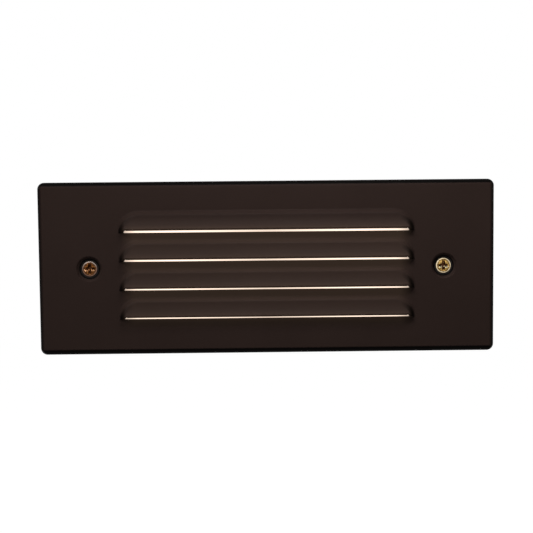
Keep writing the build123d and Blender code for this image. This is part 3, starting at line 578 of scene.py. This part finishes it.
def lit_frosted_glass(name, colour, glow, bright, dim):
    """Etched glass lit from behind: brightest in front of the lamps, with painted shade, nearly black and
    unlit, at its ends.
    """
    finish = Finish(name, colour, 0.6)
    side = finish.side()
    level = finish.spread(finish.away(side, lamp_x * MM), bright, dim, 0.0, lamp_x * MM)
    clear = finish.spread(side, 1, 0, *metres((-lens_border_blur, lens_border_blur), lit_half_width))
    ends = finish.spread(side, 1, 0.5, *metres((lens_end_fade, 0.0), lit_half_width, -1))
    finish.join(finish.product(level, ends, clear), "Emission Strength")
    cloud = finish.noise(5, 3)
    finish.join(finish.ramp(cloud, [(0.3, shade(glow, 0.985)), (0.7, glow)]), "Emission Color")
    etched = finish.ramp(cloud, [(0.3, shade(colour, 0.96)), (0.7, colour)])
    # beyond the lit width the base colour is nearly black: painted shade
    finish.join(finish.blend(clear, (0.004, 0.004, 0.004), etched), "Base Color")
    finish.bumps((finish.noise(0.2, 3), 0.01))
    return finish


def glowing_wire(name, colour, glow, strength):
    """A hot filament."""
    finish = Finish(name, colour, 0.4, metallic=1.0)
    finish.join(finish.ramp(finish.noise(0.4, 2), [(0.3, shade(glow, 0.9)), (0.7, glow)]), "Emission Color")
    finish.set("Emission Strength", strength)
    return finish


FINISHES = {
    "bronze_powder_coat": faceplate_coat("bronze powder coat with painted shade and glow", (0.0225, 0.0141, 0.0118), (1.0, 0.66, 0.45)),
    # its last colour is the painted shade of the cross recess
    "screw_brass": faceplate_screw_brass(
        "screw brass with painted shade and highlights", (0.80, 0.66, 0.44), (0.36, 0.225, 0.065), (0.05, 0.02, 0.008)),
    "black_rubber": moulded_rubber("black rubber", (0.0105, 0.0088, 0.0082)),
    "frosted_glass": lit_frosted_glass("lit frosted glass", (0.85, 0.82, 0.78), (1.0, 0.80, 0.65), 1.6, 0.95),
    "spring_steel": rolled_metal("spring steel", (0.60, 0.60, 0.61), 0.3, (1, 1, 12)),
    "zinc_plate": plated_steel("zinc plate", (0.62, 0.63, 0.65)),
    "cast_aluminium": cast_metal("cast aluminium", (0.36, 0.365, 0.37), 0.74),
    "reflector_aluminium": rolled_metal("reflector aluminium", (0.86, 0.86, 0.87), 0.22, (1, 10, 10)),
    "holder_black": moulded_plastic("lampholder phenolic", (0.03, 0.03, 0.032), 0.4),
    "contact_brass": rolled_metal("contact brass", (0.78, 0.62, 0.30), 0.3, (1, 8, 8)),
    "clear_glass": glass("clear glass", (0.97, 0.97, 0.96)),
    "lamp_wire": glowing_wire("lamp wire", (0.55, 0.53, 0.50), (1.0, 0.75, 0.45), 3.0),
    "terminal_white": moulded_plastic("terminal polyamide", (0.82, 0.81, 0.77), 0.4),
    "lead_black": moulded_plastic("black lead insulation", (0.025, 0.025, 0.026), 0.5),
    "lead_white": moulded_plastic("white lead insulation", (0.80, 0.79, 0.76), 0.5),
    "copper": rolled_metal("bare copper", (0.80, 0.42, 0.28), 0.35, (1, 14, 14)),
    "ground_green": powder_coat("green dyed steel", (0.05, 0.32, 0.12), 0.3, 0.4),
}


def paint_frame():
    """Every CAD node takes the finish of its material slot."""
    for part in frame["record"]["subparts"]:
        mesh = frame["nodes"][part["node"]].data
        mesh.materials.clear()
        mesh.materials.append(FINISHES[part["material_slot"]].material)


# ---- the pressed faceplate -------------------------------------------------
def lesser(a, b, round_off):
    """The smaller of two heights, less (round_off - their gap)^2 / (4 round_off) where they nearly meet."""
    near = np.maximum(round_off - np.abs(a - b), 0)
    return np.minimum(a, b) - near**2 / (4 * round_off)


def greater(a, b, round_off):
    """The larger of two heights, rounded in the same way."""
    return -lesser(-a, -b, round_off)


def hood_height(x, up):
    """How far a hood stands out of the plate, up millimetres above its cut edge.

    The outline is a straight crest whose ends are quarter ellipses. The distance inside it is
    (1 - f) f / |(u / a, w / b)|, where u and w are the shares of the half axes a and b and f is the
    length of (u, w). The side rises in a straight slope with that distance, and the face stands out
    by the crest's lift and a part that grows with a power of the way down to the lip. The lesser
    of the two is the hood.
    """
    rise = louver_height - louver_lip_gap
    u = np.maximum(np.abs(x) - (louver_half_width - louver_end_length), 0) / louver_end_length
    w = np.maximum(up - louver_lip_gap, 0) / rise
    f = np.maximum(np.hypot(u, w), 1e-6)
    steep = np.maximum(np.hypot(u / louver_end_length, w / rise), 1e-6)
    inside = (1 - f) * f / steep
    inside = np.where(f > 1e-3, inside, louver_end_length)
    down = 1 - np.clip((up - louver_lip_gap) / rise, 0, 1)
    face = louver_crest_lift + (louver_lip_lift - louver_crest_lift) * down**louver_curve
    side = louver_side_slope * inside
    return greater(lesser(side, face, louver_bend), np.zeros_like(side), louver_foot)


def spaced(*stops):
    """Numbers between stops: each stop is (value, step up to it from the last one)."""
    numbers = [stops[0][0]]
    for (start, _), (end, step) in zip(stops, stops[1:]):
        count = max(1, round(abs(end - start) / step))
        numbers += list(start + (end - start) * np.arange(1, count + 1) / count)
    return np.array(numbers)


def plate_columns():
    """Where the plate is sampled along X: finely at the hood ends and round the screws."""
    inner = screw_x - window_half
    outer = screw_x + window_half
    end = plate_half_width - plate_corner
    half = spaced((0, 1), (64, 2.2), (71, 0.6), (77, 0.3), (inner, 1.5), (outer, 0.6), (end, 2.3))
    return np.concatenate([-half[:0:-1], half])


def band_rows(low, high, hooded):
    """Where the plate is sampled in height between two cuts."""
    if hooded:
        rows = spaced((0, 1), (7.5, 0.55), (12.0, 0.22), (high - low, 0.9)) + low
    else:
        rows = spaced((low, 1), (high, 1.8))
    for edge in (-window_half, window_half):
        if low < edge < high:
            rows[np.abs(rows - edge).argmin()] = edge
    return rows


def plate_bands():
    """The sheets of the plate between its cuts, and the heights of the rows that bound the screw windows."""
    x = plate_columns()
    end = plate_half_height - plate_corner
    cuts = [louver_top_cut - n * louver_pitch for n in range(louver_count)][::-1]
    bounds = [-end, *cuts, end]
    sheets, levels = [], []
    for number, (low, high) in enumerate(zip(bounds, bounds[1:])):
        hooded = number > 0
        rows = band_rows(low, high, hooded)
        levels.append(rows)
        up = np.repeat((rows - low)[:, None], len(x), axis=1)
        across = np.repeat(x[None, :], len(rows), axis=0)
        if hooded:
            lip = hood_height(x, np.full_like(x, louver_lip_gap)) / louver_lip_lift
            gap = louver_lip_gap * np.clip(lip, 0, 1) ** 1.5
            up = gap[None, :] + up * (1 - gap[None, :] / (high - low))
            height = hood_height(across, up)
        else:
            height = np.zeros_like(up)
        points = np.stack([across, plate_front - height, low + up], axis=-1)
        middle_x = (x[:-1] + x[1:]) / 2
        middle_z = (rows[:-1] + rows[1:]) / 2
        in_window = (np.abs(np.abs(middle_x) - screw_x) < window_half)[None, :]
        kept = ~(in_window & (np.abs(middle_z) < window_half)[:, None])
        sheets.append((points, False, kept))
    return sheets, np.unique(np.concatenate(levels).round(6)), x


def plate_skirt(levels, columns):
    """The rounded edge and the folded rim: a profile carried round the plate, with a fan at each corner."""
    end_x = plate_half_width - plate_corner
    end_z = plate_half_height - plate_corner
    fan = np.linspace(0, math.pi / 2, 10)
    base, lean = [], []
    sides = [
        (np.stack([np.full_like(levels, end_x), levels], 1), 0),
        (np.stack([columns[::-1], np.full_like(columns, end_z)], 1), 1),
        (np.stack([np.full_like(levels, -end_x), levels[::-1]], 1), 2),
        (np.stack([columns, np.full_like(columns, -end_z)], 1), 3),
    ]
    for line, turn in sides:
        angle = np.concatenate([np.full(len(line) - 1, 0.0), fan[:-1]]) + turn * math.pi / 2
        base.append(np.concatenate([line[:-1], np.repeat(line[-1:], len(fan) - 1, axis=0)]))
        lean.append(np.stack([np.cos(angle), np.sin(angle)], 1))
    base = np.concatenate(base)
    lean = np.concatenate(lean)
    bend = np.linspace(0, math.pi / 2, 9)
    out = np.concatenate([[0], plate_corner - plate_edge + plate_edge * np.sin(bend), [plate_corner] * 2])
    front = plate_front + plate_edge * (1 - np.cos(bend))
    depth = np.concatenate([[plate_front], front, [(front[-1] + plate_rim) / 2, plate_rim]])
    flat = base[None] + lean[None] * out[:, None, None]
    tall = np.repeat(depth[:, None], len(base), axis=1)
    return np.stack([flat[..., 0], tall, flat[..., 1]], axis=-1), True, None


def dimple(side, levels, columns):
    """A screw's dimple: rings pass from the square window to circles, then down a bowl and a cone."""
    x = columns[np.abs(columns - side * screw_x) <= window_half + 1e-6] - side * screw_x
    z = levels[np.abs(levels) <= window_half + 1e-6]
    loop = np.concatenate([
        np.stack([x[:-1], np.full(len(x) - 1, z[0])], 1),
        np.stack([np.full(len(z) - 1, x[-1]), z[:-1]], 1),
        np.stack([x[:0:-1], np.full(len(x) - 1, z[-1])], 1),
        np.stack([np.full(len(z) - 1, x[0]), z[:0:-1]], 1),
    ])
    angle = np.arctan2(loop[:, 1], loop[:, 0])
    circle = np.stack([np.cos(angle), np.sin(angle)], 1)
    brim = dimple_radius + dimple_brim
    bowl = np.linspace(0, math.pi / 2, 10)
    lip = np.linspace(0, math.pi / 2, 5)[:-1]
    radii = np.concatenate([
        dimple_radius + dimple_lip * (1 - np.sin(lip)),
        dimple_seat_radius + (dimple_radius - dimple_seat_radius) * np.cos(bowl),
        [dimple_hole_radius],
    ])
    bowl_depth = screw_rim - plate_front - dimple_lip
    cone_depth = (dimple_seat_radius - dimple_hole_radius) / math.tan(screw_cone_angle)
    depths = np.concatenate([
        dimple_lip * (1 - np.cos(lip)),
        dimple_lip + bowl_depth * np.sin(bowl),
        [screw_rim - plate_front + cone_depth],
    ])
    rings = [loop]
    rings += [loop * (1 - s) + circle * brim * s for s in (0.4, 0.75, 1.0)]
    rings += [circle * r for r in radii]
    depth = np.concatenate([np.zeros(4), depths])
    flat = np.stack(rings)
    tall = plate_front + np.repeat(depth[:, None], len(loop), axis=1)
    return np.stack([flat[..., 0] + side * screw_x, tall, flat[..., 1]], axis=-1), True, None


def pressed_faceplate():
    """The whole front skin of the plate as one surface, given its thickness towards the wall."""
    sheets, levels, columns = plate_bands()
    sheets.append(plate_skirt(levels, columns))
    sheets += [dimple(side, levels, columns) for side in (-1, 1)]
    mesh = mesh_of("pressed_faceplate", sheets)
    if mesh.polygons[0].normal.y > 0:
        mesh.flip_normals()
    skin = bpy.data.objects.new("skin", mesh)
    bpy.context.scene.collection.objects.link(skin)
    wall = skin.modifiers.new("sheet", "SOLIDIFY")
    wall.thickness = plate_sheet * MM
    wall.offset = -1
    wall.use_even_offset = True
    wall.use_quality_normals = True
    thick = bpy.data.meshes.new_from_object(skin.evaluated_get(bpy.context.evaluated_depsgraph_get()))
    bpy.data.objects.remove(skin)
    material = FINISHES["bronze_powder_coat"].material
    thick.materials.clear()
    piece("pressed_faceplate", thick, material, "faceplate", ["faceplate"])


# ---- the faceplate screws --------------------------------------------------
def recess_depth(x, z):
    """A cross recess: along each arm the floor rises in a line to the head, and steep walls bound the arm."""
    along = np.maximum(np.abs(x), np.abs(z))
    across = np.minimum(np.abs(x), np.abs(z))
    floor = np.clip(recess_reach - along, 0, recess_depth_most)
    half = recess_half_width + 0.12 * np.clip(1.6 - along, 0, 1)
    wall = np.clip((half - across) / recess_wall, 0, 1)
    return floor * wall * wall * (3 - 2 * wall)


def screw_head(side):
    """The domed head: a square grid brought to a disc by x sqrt(1 - z^2 / 2), with the recess cut into it."""
    steps = np.linspace(-1, 1, 81)
    u, v = np.meshgrid(steps, steps)
    x = u * np.sqrt(1 - v**2 / 2) * screw_head_radius
    z = v * np.sqrt(1 - u**2 / 2) * screw_head_radius
    r = np.hypot(x, z) / screw_head_radius
    dome = screw_head_dome * (1 - r**2)
    y = screw_rim - dome + recess_depth(x, z)
    return np.stack([x + side * screw_x, y, z], axis=-1)


def screw_shank(side):
    """The cone under the head and the thread: a radius that swings between crest and root along a helix."""
    around = 64
    angle = np.arange(around) * 2 * math.pi / around
    cone_end = screw_rim + (screw_head_radius - screw_shank_radius) / math.tan(screw_cone_angle)
    depth = np.concatenate([
        [screw_rim, screw_rim + 0.12, cone_end],
        np.arange(cone_end + 0.3, screw_tip - 0.9, thread_pitch / 6),
        [screw_tip - 0.6, screw_tip - 0.3, screw_tip],
    ])
    turn = depth[:, None] / thread_pitch - angle[None, :] / (2 * math.pi)
    ridge = 1 - 2 * np.abs(turn - np.floor(turn) - 0.5)
    fade = np.clip((depth - cone_end) / 1.5, 0, 1) * np.clip((screw_tip - depth) / 1.2, 0, 1)
    plain = np.interp(
        depth,
        [screw_rim, screw_rim + 0.12, cone_end, screw_tip - 0.9, screw_tip],
        [screw_head_radius, screw_head_radius, screw_shank_radius, screw_shank_radius, screw_tip_radius],
    )
    radius = plain[:, None] - thread_depth * ridge * fade[:, None]
    x = radius * np.cos(angle) + side * screw_x
    z = radius * np.sin(angle)
    y = np.repeat(depth[:, None], around, axis=1)
    tip = np.stack([np.full(around, side * screw_x), np.full(around, screw_tip), np.zeros(around)], 1)
    return np.concatenate([np.stack([x, y, z], axis=-1), tip[None]])


def faceplate_screw(name, side):
    """The screw as one closed mesh: the rim of the head's disc is joined to the first ring of the shank."""
    head = screw_head(side)
    rim = np.concatenate([head[0, :-1], head[:-1, -1], head[-1, :0:-1], head[:0:-1, 0]])
    shank = screw_shank(side)
    around = shank.shape[1]
    angle = np.arctan2(rim[:, 2], rim[:, 0] - side * screw_x)
    at = (angle % (2 * math.pi)) / (2 * math.pi) * around
    low = np.floor(at).astype(int) % around
    part = (at - np.floor(at))[None, :, None]
    wound = shank[:, low] * (1 - part) + shank[:, (low + 1) % around] * part
    wound[0] = rim
    mesh = mesh_of(name, [(head, False, None), (wound, True, None)], merge=0.001)
    outwards(mesh, (side * screw_x * MM, (screw_rim + 3) * MM, 0))
    body = "screw_" + ("left" if side < 0 else "right")
    node = name.replace("turned_", "")
    piece(name, mesh, FINISHES["screw_brass"].material, body, [node], 50)


# ---- lamp filaments --------------------------------------------------------
def tube_along(path, radius, around=8):
    """A round tube along points: rings square to the path, each in a frame made from one fixed direction."""
    ahead = np.gradient(path, axis=0)
    ahead /= np.linalg.norm(ahead, axis=1)[:, None]
    side = np.cross(ahead, [0.31, 0.9, 0.2])
    side /= np.linalg.norm(side, axis=1)[:, None]
    up = np.cross(ahead, side)
    angle = np.arange(around) * 2 * math.pi / around
    ring = np.cos(angle)[None, :, None] * side[:, None] + np.sin(angle)[None, :, None] * up[:, None]
    rings = path[:, None] + ring * radius
    start = np.repeat(path[:1][None], around, axis=1)
    end = np.repeat(path[-1:][None], around, axis=1)
    return np.concatenate([start, rings, end]), True, None


def lamp_filament(name, node, body):
    """Two support wires, and a coil wound between their tips: a helix about the line that joins them."""
    low, high = node_box(node)
    inner = low[0] if abs(low[0]) < abs(high[0]) else high[0]
    outer = low[0] + high[0] - inner
    centre_y = (low[1] + high[1]) / 2
    room = 0.12
    coil_radius = (high[1] - low[1]) / 2 - room
    coil_x = outer - math.copysign(coil_radius + room, outer)
    half = filament_half_length
    turn = np.linspace(0, filament_turns * 2 * math.pi, filament_turns * 14)
    height = np.linspace(-half, half, len(turn))
    coil = np.stack([coil_x + coil_radius * np.cos(turn), centre_y + coil_radius * np.sin(turn), height], 1)
    sheets = [tube_along(coil, filament_wire_radius, 6)]
    for up in (-1, 1):
        run = np.linspace(0, 1, 12)
        wire = np.stack([inner + (coil_x + math.copysign(coil_radius, outer) - inner) * run,
                         np.full(12, centre_y), np.full(12, up * half)], 1)
        sheets.append(tube_along(wire, filament_support_radius))
    mesh = mesh_of(name, sheets, merge=0.0005)
    piece(name, mesh, FINISHES["lamp_wire"].material, body, [node], 60)


# ---- studio ----------------------------------------------------------------
def seen_directly(nodes, links):
    """1 for rays that the camera, a mirror or clear glass sends, and 0 for the rest."""
    path = nodes.new("ShaderNodeLightPath")
    total = path.outputs["Is Camera Ray"]
    for ray in ("Is Glossy Ray", "Is Transmission Ray"):
        most = nodes.new("ShaderNodeMath")
        most.operation = "MAXIMUM"
        links.new(total, most.inputs[0])
        links.new(path.outputs[ray], most.inputs[1])
        total = most.outputs["Value"]
    return total


def white_world(front, behind):
    """White to the camera, mirrors and glass; to matt surfaces, grey that is brighter behind."""
    world = bpy.data.worlds.new("studio")
    bpy.context.scene.world = world
    world.use_nodes = True
    nodes, links = world.node_tree.nodes, world.node_tree.links
    plain = nodes["Background"]
    plain.inputs["Color"].default_value = (1, 1, 1, 1)
    split = nodes.new("ShaderNodeSeparateXYZ")
    links.new(nodes.new("ShaderNodeTexCoord").outputs["Generated"], split.inputs["Vector"])
    level = nodes.new("ShaderNodeMapRange")
    level.inputs["From Min"].default_value = -0.3
    level.inputs["From Max"].default_value = 0.8
    level.inputs["To Min"].default_value = front
    level.inputs["To Max"].default_value = behind
    links.new(split.outputs["Y"], level.inputs["Value"])
    links.new(level.outputs["Result"], plain.inputs["Strength"])
    white = nodes.new("ShaderNodeBackground")
    white.inputs["Color"].default_value = (1, 1, 1, 1)
    white.inputs["Strength"].default_value = 1.0
    mix = nodes.new("ShaderNodeMixShader")
    links.new(seen_directly(nodes, links), mix.inputs["Fac"])
    links.new(plain.outputs["Background"], mix.inputs[1])
    links.new(white.outputs["Background"], mix.inputs[2])
    links.new(mix.outputs["Shader"], nodes["World Output"].inputs["Surface"])


def pale_floor(level, half):
    """A white floor under the fitting that keeps its shadow."""
    corners = [(-half, -half, level), (half, -half, level), (half, half, level), (-half, half, level)]
    mesh = bpy.data.meshes.new("floor")
    mesh.from_pydata(corners, [], [(0, 1, 2, 3)])
    floor = bpy.data.objects.new("floor", mesh)
    bpy.context.scene.collection.objects.link(floor)
    material = bpy.data.materials.new("pale floor")
    material.use_nodes = True
    nodes, links = material.node_tree.nodes, material.node_tree.links
    surface = nodes["Principled BSDF"]
    surface.inputs["Base Color"].default_value = (0.6, 0.6, 0.6, 1)
    surface.inputs["Roughness"].default_value = 0.9
    lift = nodes.new("ShaderNodeEmission")
    lift.inputs["Strength"].default_value = 1.25
    share = nodes.new("ShaderNodeMath")
    share.operation = "MULTIPLY"
    share.inputs[1].default_value = 0.75
    links.new(seen_directly(nodes, links), share.inputs[0])
    mix = nodes.new("ShaderNodeMixShader")
    links.new(share.outputs["Value"], mix.inputs["Fac"])
    links.new(surface.outputs["BSDF"], mix.inputs[1])
    links.new(lift.outputs["Emission"], mix.inputs[2])
    links.new(mix.outputs["Shader"], nodes["Material Output"].inputs["Surface"])
    mesh.materials.append(material)


def softbox(name, place, width, height, power):
    """A rectangular lamp that looks at the middle of the faceplate."""
    lamp = bpy.data.lights.new(name, "AREA")
    lamp.shape = "RECTANGLE"
    lamp.size = width
    lamp.size_y = height
    lamp.energy = power
    holder = bpy.data.objects.new(name, lamp)
    bpy.context.scene.collection.objects.link(holder)
    holder.location = place
    holder.visible_camera = False
    holder.rotation_euler = (-Vector(place)).to_track_quat("-Z", "Y").to_euler()


def photo_camera():
    """The camera of the photograph: straight in front, 3 degrees above the middle of the plate."""
    distance, lens = 0.450, 58.72
    pitch, yaw, roll = math.radians(3.23), math.radians(-0.53), math.radians(-0.56)
    aim = Vector((-0.00017, -0.00335, 0.00023))
    away = Vector((math.sin(yaw) * math.cos(pitch), -math.cos(yaw) * math.cos(pitch), math.sin(pitch)))
    right = (-away).cross(Vector((0, 0, 1))).normalized()
    up = right.cross(-away)
    tilted_right = right * math.cos(roll) + up * math.sin(roll)
    tilted_up = up * math.cos(roll) - right * math.sin(roll)
    camera = bpy.data.cameras.new("camera")
    camera.lens = lens
    camera.sensor_width = 36.0
    camera.clip_start = 0.01
    holder = bpy.data.objects.new("camera", camera)
    bpy.context.scene.collection.objects.link(holder)
    turn = Matrix((tilted_right, tilted_up, away)).transposed().to_4x4()
    holder.matrix_world = Matrix.Translation(aim + away * distance) @ turn
    bpy.context.scene.camera = holder


# ---- the fitting -----------------------------------------------------------
paint_frame()
pressed_faceplate()
for name, side in (("left", -1), ("right", 1)):
    faceplate_screw("turned_faceplate_screw_" + name, side)
    lamp_filament("wound_lamp_filament_" + name, "lamp_filament_" + name, "lamp_" + name)

white_world(front=0.06, behind=0.75)
pale_floor(level=-0.45, half=3.0)
softbox("top", (0.035, -0.16, 0.20), width=0.16, height=0.08, power=0.48)
softbox("key", (-0.72, -0.92, 1.00), width=0.40, height=0.40, power=13.2)
photo_camera()
bpy.context.scene.view_settings.view_transform = "Standard"
